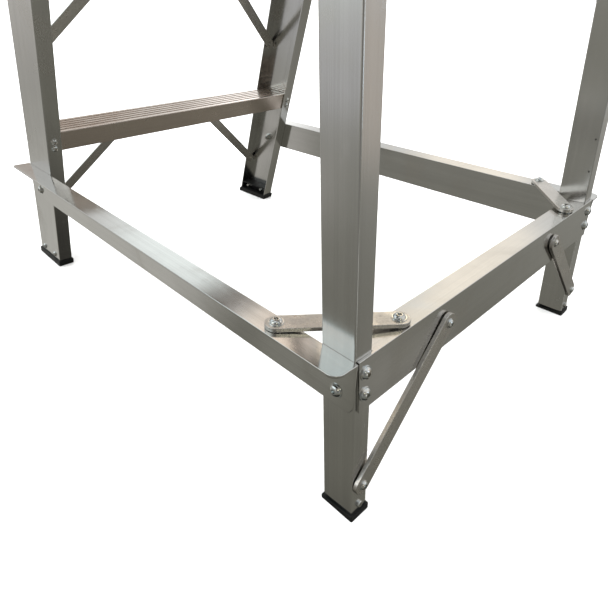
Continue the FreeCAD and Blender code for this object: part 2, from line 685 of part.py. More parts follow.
def plank_start(number):
    """How far a plank's rear edge is in front of the rear faces."""
    return size("deck_rear_x") + 4.0 + number * plank_pitch


def plank_rivet_places():
    return [plank_start(number) + share * size("deck_plank_deep")
            for number in range(deck_planks) for share in plank_rivet_shares]


def plank(number):
    """Closed ribbed extrusion lying across the deck rails."""
    name = "deck_plank_%d" % (number + 1)
    deep, tall, skin = size("deck_plank_deep"), size("deck_plank_tall"), size("step_wall")
    start = plank_start(number)
    rear = size("rear_face_x") - start
    half = outer_half(start + deep, deck_seat) - 1.0
    cut_wide = 2 * (half + past)
    blank = block(name + "_box", ("Sizes.deck_plank_deep", 2 * half, "Sizes.deck_plank_tall"))

    def lengthwise(at, box):
        return near(box.YLength, 2 * half)

    outside = rounded(name + "_outside", blank,
                      [(size("tread_round"), lambda at, box: lengthwise(at, box) and at.z > tall / 2),
                       (size("edge_round"), lengthwise)],
                      Placement(Vector(rear - deep, -half, deck_seat), Rotation()))
    tools = []
    cell = (deep - (plank_cells + 1) * skin) / plank_cells
    for column in range(plank_cells):
        tools.append(block(name + "_cell", (cell, cut_wide, tall - skin - size("step_top_wall")),
                           (rear - deep + skin + column * (cell + skin), -half - past, deck_seat + skin)))
    pitch = deep / (plank_grooves + 1)
    for groove in range(plank_grooves):
        tools.append(block(name + "_groove", (pitch * groove_share, cut_wide, 2),
                           (rear - deep + pitch * (groove + 0.75), -half - past,
                            deck_seat + tall - groove_floor)))
    for share in plank_rivet_shares:
        local = side_frame.multVec(Vector(-(start + share * deep), plank_rivet_inset, size("deck_rail_top")))
        for side in (-1, 1):
            tools.append(rod(name + "_hole", rivet_hole, 8, (local.x, side * local.y, deck_seat - 3),
                             (0, 0, 1)))
    keep(name, cut(name, outside, tools))


# ---------------------------------------------------------------- guardrail
guard_y = -wall - size("tube_radius") - 0.1
back_knee_height = size("knee_height") + 45.0


def guard_hoop():
    """Bent tube standing on the outside of a deck rail."""
    front, rear, top = -size("guard_front_x"), -size("guard_rear_x"), size("guard_top")
    bend, foot = size("guard_bend"), size("guard_foot")
    corner = bend * (1 - math.sqrt(0.5))
    path = Part.Wire([
        Part.LineSegment(Vector(front, guard_y, foot), Vector(front, guard_y, top - bend)).toShape(),
        Part.Arc(Vector(front, guard_y, top - bend), Vector(front + corner, guard_y, top - corner),
                 Vector(front + bend, guard_y, top)).toShape(),
        Part.LineSegment(Vector(front + bend, guard_y, top), Vector(rear - bend, guard_y, top)).toShape(),
        Part.Arc(Vector(rear - bend, guard_y, top), Vector(rear - corner, guard_y, top - corner),
                 Vector(rear, guard_y, top - bend)).toShape(),
        Part.LineSegment(Vector(rear, guard_y, top - bend), Vector(rear, guard_y, foot)).toShape()])
    skins = []
    for radius in (size("tube_radius"), size("tube_radius") - size("tube_wall")):
        ring_wire = Part.Wire(Part.Circle(Vector(front, guard_y, foot), Z_AXIS, radius).toShape())
        skins.append(path.makePipeShell([ring_wire], True, True))
    hoop = doc.addObject("Part::Feature", "guard_tube")
    hoop.Shape = skins[0].cut(skins[1])
    holes = []
    across = 2 * size("tube_radius") + 4
    for x in (front, rear):
        for height in guard_bolt_heights:
            holes.append(rod("guard_hole", mid_hole, across, (x, guard_y - across / 2, height), (0, 1, 0)))
        holes.append(rod("guard_knee_hole", mid_hole, across, (x - across / 2, guard_y, size("knee_height")),
                         (1, 0, 0)))
    for height in (back_knee_height, size("back_rail_height")):
        holes.append(rod("guard_back_hole", mid_hole + 0.6, across, (rear, guard_y - across / 2, height),
                         (0, 1, 0)))
    keep_pair("guard_hoop", cut("guard_hoop", hoop, holes), side_frame)


def coped_tube(name, start, end, posts):
    """Straight tube between two posts, its ends shaped to fit round them."""
    run = Vector(*end) - Vector(*start)
    outer = rod(name + "_outside", "Sizes.knee_radius", run.Length, start, tuple(run))
    inner = rod(name + "_inside", "Sizes.knee_radius - Sizes.tube_wall", run.Length, start, tuple(run))
    tube = cut(name + "_tube", outer, [inner])
    return cut(name, tube, posts)


def guard_rails():
    clear = size("tube_radius") + 0.15
    height = size("knee_height")
    front, rear = -size("guard_front_x"), -size("guard_rear_x")
    posts = [rod("knee_post", clear, 200, (x, guard_y, height - 100), (0, 0, 1)) for x in (front, rear)]
    side = coped_tube("side_knee", (front, guard_y, height), (rear, guard_y, height), posts)
    keep_pair("side_knee_rail", side, side_frame)
    for name, height in (("rear_knee_rail", back_knee_height), ("rear_top_rail", size("back_rail_height"))):
        right = side_frame.multVec(Vector(rear, guard_y, height))
        left = Vector(right.x, -right.y, right.z)
        up = side_frame.Rotation.multVec(Z_AXIS)
        posts = []
        for point, side in ((right, 1), (left, -1)):
            along = Vector(up.x, side * up.y, up.z)
            posts.append(rod(name + "_post", clear, 200, tuple(point - along * 100), tuple(along)))
        keep(name, coped_tube(name, tuple(right), tuple(left), posts))


# ---------------------------------------------------------------- fastener groups
def fasteners():
    web, metal, leg_wall = size("web_deep"), size("channel_wall"), size("leg_wall")
    out, inward = (0, -1, 0), (0, 1, 0)
    big_bolt = button_bolt("big", 16.0, 5.0)
    big_nut = flange_nut("big", 13.0, 6.5)
    mid_nut = flange_nut("mid", 10.0, 5.0)

    side_heights = (side_bolt_height,) + deck_bolt_heights
    side_places = [(centre(z), -wall, z) for z in side_heights for centre in (leg_centre, stile_centre)]
    keep_group("side_rail_bolts", [place(big_bolt, point, out) for point in side_places], side_frame)
    stile_places = [(stile_centre(z), metal, z) for z in side_heights]
    keep_group("side_rail_nuts", [place(big_nut, point, inward) for point in stile_places], side_frame)

    rear_bolts, rear_sleeves = [], []
    for top, heights in ((size("rail_top"), rear_bolt_heights), (deck_rear_rail_top, deck_rear_bolt_heights)):
        frame = rear_frame_at(top).toMatrix()
        for height in heights:
            y = -(leg_half(height) - leg_mid)
            bolt = place(big_bolt, (wall, y, height / leg_cos), (1, 0, 0))
            sleeve = place(rivet_nut("big", 13.5, leg_wall), (-0.5, y, height / leg_cos), (1, 0, 0))
            rear_bolts.append(bolt.transformGeometry(frame))
            rear_sleeves.append(sleeve.transformGeometry(frame))
    keep_group("rear_rail_bolts", rear_bolts)

    leg_places = [(leg_centre(z), 0, z) for z in side_heights]
    sleeves = [place(rivet_nut("big", 14.0, leg_wall), point, out) for point in leg_places]
    sleeves = [shape.transformGeometry(side_frame.toMatrix()) for shape in sleeves]
    keep_group("leg_rivet_nuts", sleeves + rear_sleeves)

    gusset_top = gusset_seat + size("flat_thick")
    gusset_bolt = button_bolt("big", 20.0, 5.0)
    keep_group("gusset_bolts", [place(gusset_bolt, (x, y, gusset_top), (0, 0, 1))
                                for x, y in (gusset_front, gusset_rear)])
    keep_group("gusset_nuts", [place(big_nut, (x, y, gusset_seat - wall - gap), (0, 0, -1))
                               for (x, y), gap in ((gusset_front, 1.4), (gusset_rear, 3.8))])
    gusset_washer = ring(10.0, big_hole, 1.2)
    keep_group("gusset_washers", [place(gusset_washer, (gusset_rear[0], gusset_rear[1], gusset_seat - 1.25),
                                        (0, 0, 1))])

    high, low = brace_ends()
    tilted = brace_frame()
    brace_bolt = button_bolt("mid", 17.0, 4.0)
    keep_group("rear_brace_bolts",
               [place(brace_bolt, (size("brace_thick"), y, z), (1, 0, 0)) for z, y in (high, low)], tilted)
    keep_group("rear_brace_nuts", [place(mid_nut, (-brace_top_lift - 0.2, high[1], high[0]), (-1, 0, 0))],
               tilted)
    keep_group("rear_brace_washers", [place(ring(6.2, mid_hole, 0.9), (-0.95, high[1], high[0]), (1, 0, 0))],
               tilted)
    keep_group("rear_brace_sleeves",
               [place(rivet_nut("mid", 11.0, leg_wall), (-brace_low_lift - 0.9, low[1], low[0]), (1, 0, 0))],
               tilted)
    keep_group("leg_foot_screws", [place(pan_screw(14.0), (0.02, leg_mid, foot_screw_height), (1, 0, 0))],
               side_frame * leg_frame)

    step_bolt = button_bolt("mid", 14.0, 4.0)
    bolts, nuts, rivets, upper_rivets, spacers = [], [], [], [], []
    depth = metal + size("fit_gap") + size("step_wall") + 0.35
    for top in step_heights:
        for drop in step_bolt_drops:
            back, front = stile_height(top - drop), stile_height(top - drop, -web)
            bolts += [place(step_bolt, (0, flange_mid, back), (1, 0, 0)),
                      place(step_bolt, (-web, flange_mid, front), (-1, 0, 0))]
            nuts += [place(mid_nut, (-depth, flange_mid, back), (-1, 0, 0)),
                     place(mid_nut, (depth - web, flange_mid, front), (1, 0, 0))]
        (low_y, low_z), (high_y, high_z) = tie_points(top)
        grip = tie_face + size("tie_thick") + web
        recess = skirt_inset - 0.2
        rivets.append(place(blind_rivet(grip), (-web, low_y, low_z), (-1, 0, 0)))
        upper_rivets.append(place(blind_rivet(grip - recess), (recess - web, high_y, high_z), (-1, 0, 0)))
        spacer = ring(6.0, rivet_hole, tie_face + web - metal - touch)
        spacers.append(place(spacer, (metal - web + touch / 2, low_y, low_z), (1, 0, 0)))
    keep_group("step_bolts", bolts, stile_world)
    keep_group("step_nuts", nuts, stile_world)
    keep_group("tie_rivets", rivets + upper_rivets, stile_world)
    keep_group("tie_spacers", spacers, stile_world)

    foot_places = [(x, 0, stile_foot_bolt_height) for x in stile_foot_bolt_places()]
    foot_bolt = button_bolt("mid", 24.0, 4.0)
    seat = metal + size("fit_gap") + stile_foot_web
    keep_group("stile_foot_bolts", [place(foot_bolt, point, out) for point in foot_places], side_frame)
    keep_group("stile_foot_nuts", [place(mid_nut, (x, seat, z), inward) for x, _, z in foot_places], side_frame)

    plank_rivet = blind_rivet(wall + size("step_wall") + 1.4)
    rivet_height = size("deck_rail_top") - wall
    plank_rivets = [place(plank_rivet, (-x, plank_rivet_inset, rivet_height - 0.3), (0, 0, -1))
                    for x in plank_rivet_places()]
    keep_group("plank_rivets", plank_rivets, side_frame)

    guard_bolt = button_bolt("mid", 2 * size("tube_radius") + 14.0, 4.0)
    guard_places = [(-x, guard_y - size("tube_radius") - 0.05, z) for z in guard_bolt_heights
                    for x in (size("guard_front_x"), size("guard_rear_x"))]
    keep_group("guard_bolts", [place(guard_bolt, point, out) for point in guard_places], side_frame)
    keep_group("guard_nuts", [place(mid_nut, (x, 0, z), inward) for x, _, z in guard_places], side_frame)
    cap_shape = ring(size("tube_radius"), 3.0, 2.0).fuse(
        Part.makeCylinder(size("tube_radius") - size("tube_wall") - 0.1, 7.0))
    cap = cap_shape.removeSplitter()
    keep_group("guard_foot_caps", [place(cap, (-x, guard_y, size("guard_foot") - 2.0), (0, 0, 1))
                                   for x in (size("guard_front_x"), size("guard_rear_x"))], side_frame)

    reach = size("tube_radius") + 0.15
    screw = button_bolt("mid", 2 * reach + 18.0, 4.0)
    plug = ring(size("knee_radius") - size("tube_wall") - 0.1, size("mid_shank") + 0.05, 16.0)
    screws, plugs = [], []
    for x, toward in ((-size("guard_front_x"), 1), (-size("guard_rear_x"), -1)):
        screws.append(place(screw, (x - toward * reach, guard_y, size("knee_height")), (-toward, 0, 0)))
        plugs.append(place(plug, (x + toward * (reach + 1.5), guard_y, size("knee_height")), (toward, 0, 0)))
    screws = [shape.transformGeometry(side_frame.toMatrix()) for shape in screws]
    plugs = [shape.transformGeometry(side_frame.toMatrix()) for shape in plugs]
    for height in (back_knee_height, size("back_rail_height")):
        post = side_frame.multVec(Vector(-size("guard_rear_x"), guard_y, height))
        screws.append(place(screw, (post.x, post.y - reach - 0.3, post.z), out))
        plugs.append(place(plug, (post.x, post.y + reach + 1.5, post.z), inward))
    keep_group("guard_rail_screws", screws)
    keep_group("guard_rail_plugs", plugs)


leg_tube()
leg_foot()
stile()
stile_foot()
base_side_rail()
rear_rail("base_rear_rail", size("rail_top"), True, rear_bolt_heights)
rear_rail("deck_rear_rail", deck_rear_rail_top, False, deck_rear_bolt_heights)
gusset()
rear_brace()
for number, top in enumerate(step_heights, start=1):
    step("step_%d" % number, top)
    step_tie("step_tie_%d" % number, top)
deck_side_rail()
for number in range(deck_planks):
    plank(number)
guard_hoop()
guard_rails()
fasteners()

doc.recompute()
failed = [item.Label for item in doc.Objects if {"Invalid", "Error"} & set(item.State)]
bad = [name for name, item in nodes.items() if item.Shape.isNull() or not item.Shape.isValid()]
if failed or bad:
    raise RuntimeError("failed: %s; bad shapes: %s" % (failed, bad))

os.makedirs("parts", exist_ok=True)
for name, item in nodes.items():
    item.Shape.exportStep("parts/%s.step" % name)
box = Part.makeCompound([item.Shape for item in nodes.values()]).BoundBox
print("%d nodes, x %.2f..%.2f y %.2f..%.2f z %.2f..%.2f" % (
    len(nodes), box.XMin, box.XMax, box.YMin, box.YMax, box.ZMin, box.ZMax))
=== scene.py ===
import math

import bmesh
import bpy
from mathutils import Matrix, Vector


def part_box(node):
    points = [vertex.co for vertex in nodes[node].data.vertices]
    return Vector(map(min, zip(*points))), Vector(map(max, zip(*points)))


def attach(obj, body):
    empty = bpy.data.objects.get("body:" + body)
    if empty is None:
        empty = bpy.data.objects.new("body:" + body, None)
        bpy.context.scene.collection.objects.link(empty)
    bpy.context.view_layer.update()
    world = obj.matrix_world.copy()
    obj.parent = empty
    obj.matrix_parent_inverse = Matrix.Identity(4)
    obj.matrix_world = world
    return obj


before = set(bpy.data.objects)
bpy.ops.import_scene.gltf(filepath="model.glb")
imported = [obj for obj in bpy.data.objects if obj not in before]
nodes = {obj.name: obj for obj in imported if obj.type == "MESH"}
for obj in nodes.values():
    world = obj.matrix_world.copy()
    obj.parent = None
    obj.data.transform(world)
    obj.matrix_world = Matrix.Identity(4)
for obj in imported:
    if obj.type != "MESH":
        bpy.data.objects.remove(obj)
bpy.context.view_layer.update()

MM = 0.001

# ---------------------------------------------------------------- how the members run
SIDE_LEAN = math.radians(2.0)       # inward lean of a side frame
TOE_IN = math.radians(0.65)         # turn of a side frame towards the middle at the front
LEG_LEAN = math.radians(5.0)        # rear legs, in the side frame
STILE_LEAN = math.radians(19.7)     # stiles, in the side frame
UP, ACROSS, REARWARD = Vector((0, 0, 1)), Vector((0, 1, 0)), Vector((1, 0, 0))
TREADS = ["step_1", "step_2"] + ["deck_plank_%d" % number for number in range(1, 6)]


def side_direction(x, z, side, y=0.0):
    """Row-frame direction of a vector in a side frame; side is -1 on the right and 1 on the left."""
    turn = Matrix.Rotation(-TOE_IN, 3, "Z") @ Matrix.Rotation(-SIDE_LEAN, 3, "X")
    run = turn @ Vector((x, y, z))
    return Vector((run.x, -side * run.y, run.z)).normalized()


def leg_direction(side):
    return side_direction(-math.sin(LEG_LEAN), math.cos(LEG_LEAN), side)


def stile_direction(side):
    return side_direction(math.sin(STILE_LEAN), math.cos(STILE_LEAN), side)


def long_direction(name):
    """Direction in which a slim piece is longest, from its own points."""
    points = [v.co for v in nodes[name].data.vertices]
    middle = sum(points, Vector()) / len(points)
    far = max(points, key=lambda p: (p - middle).length)
    other = max(points, key=lambda p: (p - far).length)
    return (far - other).normalized()


# ---------------------------------------------------------------- shader writing
class Value:
    """One output socket; arithmetic on it adds Math nodes."""

    def __init__(self, shader, socket):
        self.shader, self.socket = shader, socket

    def math(self, operation, *others):
        return self.shader.node("ShaderNodeMath", {"operation": operation},
                                dict(enumerate((self,) + others)))

    def __add__(self, other):
        return self.math("ADD", other)

    def __mul__(self, other):
        return self.math("MULTIPLY", other)

    __radd__, __rmul__ = __add__, __mul__

    def __sub__(self, other):
        return self.math("SUBTRACT", other)

    def __rsub__(self, other):
        return self * -1 + other

    def ramp(self, low, high):
        """0 below low, 1 above high, smooth between; low may be the larger."""
        return self.shader.node("ShaderNodeMapRange", {"interpolation_type": "SMOOTHSTEP"},
                                {"Value": self, "From Min": low, "From Max": high})


class Shader:
    """The node tree of a material or of the world."""

    def __init__(self, owner):
        owner.use_nodes = True
        self.tree = owner.node_tree
        self.tree.nodes.clear()

    def node(self, kind, settings=None, sockets=None, output=0):
        made = self.tree.nodes.new(kind)
        for name, value in (settings or {}).items():
            if name == "stops":
                self.set_stops(made.color_ramp, value)
            else:
                setattr(made, name, value)
        for name, value in (sockets or {}).items():
            if isinstance(value, Value):
                self.tree.links.new(value.socket, made.inputs[name])
            else:
                made.inputs[name].default_value = value
        return Value(self, made.outputs[output]) if made.outputs else made

    @staticmethod
    def set_stops(color_ramp, stops):
        while len(color_ramp.elements) < len(stops):
            color_ramp.elements.new(1.0)
        for element, (place, colour) in zip(color_ramp.elements, stops):
            element.position = place
            element.color = (*colour, 1.0)

    def coordinates(self, kind="Object"):
        place = self.node("ShaderNodeTexCoord")
        return Value(self, place.socket.node.outputs[kind])

    def noise(self, where, scale, detail=2.0, roughness=0.5, distortion=0.0):
        return self.node("ShaderNodeTexNoise", None, {
            "Vector": where, "Scale": scale, "Detail": detail, "Roughness": roughness,
            "Distortion": distortion})

    def stretched(self, where, scales, shift=(0, 0, 0)):
        return self.node("ShaderNodeMapping", None,
                         {"Vector": where, "Scale": scales, "Location": shift})

    def mix(self, factor, first, second):
        """Colour mix; first and second are colours or colour values."""
        wide = [value if isinstance(value, Value) else (*value, 1.0) for value in (first, second)]
        return self.node("ShaderNodeMix", {"data_type": "RGBA"},
                         {0: factor, 6: wide[0], 7: wide[1]}, output=2)


def grain_turn(along, beside=None):
    """Euler turn from the row frame to a member's own axes, its length first."""
    first = along.normalized()
    guess = beside or (ACROSS if abs(first.y) < 0.9 else UP)
    third = first.cross(guess).normalized()
    second = third.cross(first)
    return Matrix((first, second, third)).to_euler("XYZ")


class Metal(Shader):
    """Bare metal: a Principled surface in the member's own axes, with x along the member."""

    def __init__(self, name, along, seed=0.0):
        material = bpy.data.materials.new(name)
        super().__init__(material)
        self.material = material
        self.where = self.node("ShaderNodeMapping", None, {
            "Vector": self.coordinates(), "Rotation": grain_turn(along),
            "Location": (seed * 0.37, seed * 0.11, seed * 0.23)})

    def lines(self, per_metre, stretch, detail=2.0):
        """Lengthwise marks left by the die, so many to the metre across the member."""
        scales = (per_metre / stretch, per_metre, per_metre)
        return self.noise(self.stretched(self.where, scales), 1.0, detail, 0.6)

    def nicks(self, per_metre, share, size):
        """Small scattered dents: 1 in the middle of each, on that share of the cells."""
        cells = self.node("ShaderNodeTexVoronoi", None,
                          {"Vector": self.stretched(self.where, (0.45, 1, 1)), "Scale": per_metre})
        pick = self.node("ShaderNodeSeparateColor", None,
                         {0: Value(self, cells.socket.node.outputs["Color"])})
        return cells.ramp(size, size * 0.4) * pick.ramp(1 - share, 1 - share * 0.9)

    def scratches(self, per_metre, width):
        """Thin wandering scratches that come and go."""
        bent = self.node("ShaderNodeVectorMath", {"operation": "MULTIPLY_ADD"}, {
            0: self.node("ShaderNodeTexNoise", None,
                         {"Vector": self.where, "Scale": per_metre * 0.8, "Detail": 1.0}, output=1),
            1: (0.05, 0.05, 0.05), 2: self.where})
        cracks = self.node("ShaderNodeTexVoronoi", {"feature": "DISTANCE_TO_EDGE"},
                           {"Vector": bent, "Scale": per_metre})
        shown = self.noise(self.where, per_metre * 0.6, 1.0).ramp(0.60, 0.66)
        return cracks.ramp(width, width * 0.3) * shown

    def finish(self, colour, roughness, height, strength, distance, metallic=1.0, extras=None):
        bump = self.node("ShaderNodeBump", None,
                         {"Height": height, "Strength": strength, "Distance": distance})
        sockets = {"Base Color": colour, "Roughness": roughness, "Normal": bump,
                   "Metallic": metallic}
        sockets.update(extras or {})
        surface = self.node("ShaderNodeBsdfPrincipled", None, sockets)
        self.node("ShaderNodeOutputMaterial", None, {"Surface": surface})
        return self.material


# ---------------------------------------------------------------- the finishes
def mill_aluminium(name, along, seed, gloss=0.15, tone=(0.635, 0.632, 0.618)):
    """Extruded bar as it leaves the mill: die lines, faint bands, handling smudges, small nicks."""
    metal = Metal(name, along, seed)
    fine = metal.lines(900, 260, 3.0)
    bands = metal.lines(70, 40)
    clouds = metal.noise(metal.where, 9.0, 4.0, 0.55, 0.6)
    spots = metal.noise(metal.where, 55.0, 3.0, 0.6)
    nicks = metal.nicks(34.0, 0.10, 0.05)
    scratches = metal.scratches(11.0, 0.010)
    light, dark = tone, tuple(part * 0.80 for part in tone)
    shade = (fine - 0.5) * 0.55 + (bands - 0.5) * 0.7 + (clouds - 0.5) * 0.5 + 0.40
    colour = metal.mix(shade.ramp(0.0, 1.0), light, dark)
    colour = metal.mix(clouds.ramp(0.55, 0.75) * 0.35, colour, (0.56, 0.53, 0.49))
    colour = metal.mix(nicks * 0.75, colour, (0.16, 0.15, 0.14))
    colour = metal.mix(scratches * 0.18, colour, (0.78, 0.78, 0.76))
    roughness = (gloss + (fine - 0.5) * 0.10 + clouds.ramp(0.45, 0.8) * 0.12
                 + spots.ramp(0.6, 0.75) * 0.05 + scratches * 0.08 + nicks * 0.3)
    height = fine * 0.5 + bands * 0.9 + spots * 0.12 - scratches * 0.06 - nicks * 1.2
    return metal.finish(colour, roughness, height, 0.35, 0.10 * MM)


def tread_aluminium(name, along, seed, top):
    """Ribbed tread: warmer and duller than the bars, darker in the grooves, ribs polished by feet.
    """
    metal = Metal(name, along, seed)
    fine = metal.lines(1100, 300, 3.0)
    clouds = metal.noise(metal.where, 16.0, 4.0, 0.6, 0.8)
    grain = metal.noise(metal.where, 420.0, 2.0, 0.6)
    z = metal.node("ShaderNodeSeparateXYZ", None, {0: metal.coordinates()}, output=2)
    groove = z.ramp(top - 0.5 * MM, top - 1.3 * MM) * z.ramp(top - 2.6 * MM, top - 1.6 * MM)
    crown = z.ramp(top - 0.5 * MM, top - 0.1 * MM)
    shade = (fine - 0.5) * 0.6 + (clouds - 0.5) * 0.9 + 0.45
    colour = metal.mix(shade.ramp(0.0, 1.0), (0.70, 0.62, 0.56), (0.57, 0.49, 0.435))
    colour = metal.mix(groove * (clouds * 0.5 + 0.15), colour, (0.36, 0.305, 0.26))
    colour = metal.mix(crown * clouds.ramp(0.35, 0.65) * 0.6, colour, (0.77, 0.70, 0.64))
    roughness = (0.25 + (fine - 0.5) * 0.12 + clouds.ramp(0.4, 0.8) * 0.12 + groove * 0.16
                 + grain * 0.06 - crown * 0.05)
    height = fine * 0.6 + grain * 0.25 + clouds * 0.5
    return metal.finish(colour, roughness, height, 0.4, 0.09 * MM)


def flat_bar_aluminium(name, along, seed, tone=(0.68, 0.655, 0.62)):
    """Tumbled flat bar: a fine speckle of dents, brighter rubbed patches."""
    metal = Metal(name, along, seed)
    speckle = metal.noise(metal.where, 520.0, 3.0, 0.7)
    pits = metal.noise(metal.where, 210.0, 2.0, 0.6)
    clouds = metal.noise(metal.where, 38.0, 3.0, 0.5, 0.5)
    nicks = metal.nicks(70.0, 0.22, 0.07)
    lines = metal.lines(600, 60)
    dark = tuple(part * 0.68 for part in tone)
    shade = (speckle - 0.5) * 1.3 + (clouds - 0.5) * 0.8 + (lines - 0.5) * 0.3 + 0.42
    colour = metal.mix(shade.ramp(0.0, 1.0), tone, dark)
    colour = metal.mix(pits.ramp(0.62, 0.72) * 0.5, colour, (0.33, 0.31, 0.29))
    colour = metal.mix(nicks * 0.6, colour, (0.22, 0.21, 0.19))
    roughness = 0.27 + (speckle - 0.5) * 0.22 + clouds.ramp(0.35, 0.7) * 0.08 + nicks * 0.2
    height = speckle * 0.8 + pits * 0.8 - nicks * 1.5
    return metal.finish(colour, roughness, height, 0.5, 0.12 * MM)


def tube_aluminium(name, along, seed):
    """Drawn and polished tube, rubbed smoother where hands hold it."""
    metal = Metal(name, along, seed)
    fine = metal.lines(700, 90, 3.0)
    clouds = metal.noise(metal.where, 12.0, 4.0, 0.55, 0.7)
    grain = metal.noise(metal.where, 380.0, 2.0, 0.6)
    nicks = metal.nicks(40.0, 0.08, 0.05)
    shade = (fine - 0.5) * 0.4 + (clouds - 0.5) * 0.8 + 0.4
    colour = metal.mix(shade.ramp(0.0, 1.0), (0.68, 0.68, 0.67), (0.56, 0.555, 0.54))
    colour = metal.mix(nicks * 0.7, colour, (0.20, 0.19, 0.18))
    roughness = 0.20 + (fine - 0.5) * 0.10 + clouds.ramp(0.4, 0.75) * 0.12 + grain * 0.04
    height = fine * 0.4 + grain * 0.3 - nicks * 1.0
    return metal.finish(colour, roughness, height, 0.3, 0.08 * MM)


def bright_steel(name, seed):
    """Bright zinc plating with a faint blue and straw bloom, worn dull in small patches."""
    metal = Metal(name, REARWARD, seed)
    bloom = metal.noise(metal.where, 150.0, 3.0, 0.6, 0.5)
    grain = metal.noise(metal.where, 900.0, 2.0, 0.6)
    wear = metal.noise(metal.where, 320.0, 3.0, 0.65)
    colour = metal.mix(bloom.ramp(0.35, 0.65), (0.58, 0.62, 0.635), (0.64, 0.62, 0.58))
    colour = metal.mix(wear.ramp(0.60, 0.76) * 0.5, colour, (0.34, 0.335, 0.32))
    roughness = 0.07 + bloom.ramp(0.4, 0.8) * 0.08 + grain * 0.05 + wear.ramp(0.55, 0.75) * 0.12
    height = grain * 0.5 + wear * 0.6
    return metal.finish(colour, roughness, height, 0.2, 0.04 * MM)


def black_rubber(name, seed):
    """Moulded foot rubber: fine grain, scuffs, and dust near the floor."""
    rubber = Metal(name, REARWARD, seed)
    grain = rubber.noise(rubber.where, 1300.0, 2.0, 0.6)
    scuffs = rubber.noise(rubber.stretched(rubber.where, (1, 1, 5)), 60.0, 4.0, 0.65, 0.6)
    dust = rubber.noise(rubber.where, 110.0, 3.0, 0.7)
    z = rubber.node("ShaderNodeSeparateXYZ", None, {0: rubber.coordinates()}, output=2)
    low = z.ramp(4.0 * MM, 0.5 * MM)
    colour = rubber.mix(scuffs.ramp(0.5, 0.75) * 0.5, (0.003, 0.0034, 0.0034), (0.012, 0.012, 0.011))
    colour = rubber.mix((low * 0.35 + 0.06) * dust.ramp(0.45, 0.75), colour, (0.06, 0.055, 0.045))
    roughness = 0.44 + scuffs.ramp(0.4, 0.8) * 0.22 + grain * 0.08 + low * 0.1
    height = grain * 0.7 + scuffs * 0.6
    return rubber.finish(colour, roughness, height, 0.5, 0.06 * MM, metallic=0.0,
                         extras={"Specular IOR Level": 0.3})


def dress(name, material):
    """Gives every slot of a CAD node this finish."""
    for slot in nodes[name].material_slots:
        slot.material = material


def dress_members():
    seed = 1.0
    for word, side in (("right", -1), ("left", 1)):
        rail, leg, stile = side_direction(1, 0, side), leg_direction(side), stile_direction(side)
        for piece, along, gloss in (("base_side_rail", rail, 0.13), ("deck_side_rail", rail, 0.15),
                                    ("rear_leg", leg, 0.19), ("stile", stile, 0.18)):
            name = "%s_%s" % (word, piece)
            dress(name, mill_aluminium(name + "_metal", along, seed, gloss))
            seed += 1.0
        for piece in ("corner_gusset", "rear_brace", "step_tie_1", "step_tie_2"):
            name = "%s_%s" % (word, piece)
            dress(name, flat_bar_aluminium(name + "_metal", long_direction(name), seed))
            seed += 1.0
        for piece, along in (("guard_hoop", UP), ("side_knee_rail", rail)):
            name = "%s_%s" % (word, piece)
            dress(name, tube_aluminium(name + "_metal", along, seed))
            seed += 1.0
    for name in ("base_rear_rail", "deck_rear_rail"):
        dress(name, mill_aluminium(name + "_metal", ACROSS, seed, 0.14))
        seed += 1.0
    for name in ("rear_knee_rail", "rear_top_rail"):
        dress(name, tube_aluminium(name + "_metal", ACROSS, seed))
        seed += 1.0
    for name in TREADS:
        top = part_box(name)[1].z
        dress(name, tread_aluminium(name + "_metal", ACROSS, seed, top))
        seed += 1.0


def dress_fittings():
    steel, rubber = bright_steel("zinc_plated_steel", 3.0), black_rubber("foot_rubber", 5.0)
    record_slots = {name: nodes[name].material_slots[0].material.name for name in nodes}
    for name, slot in record_slots.items():
        if slot.startswith("bright_steel"):
            dress(name, steel)
        elif slot.startswith("black_rubber"):
            dress(name, rubber)
    return steel


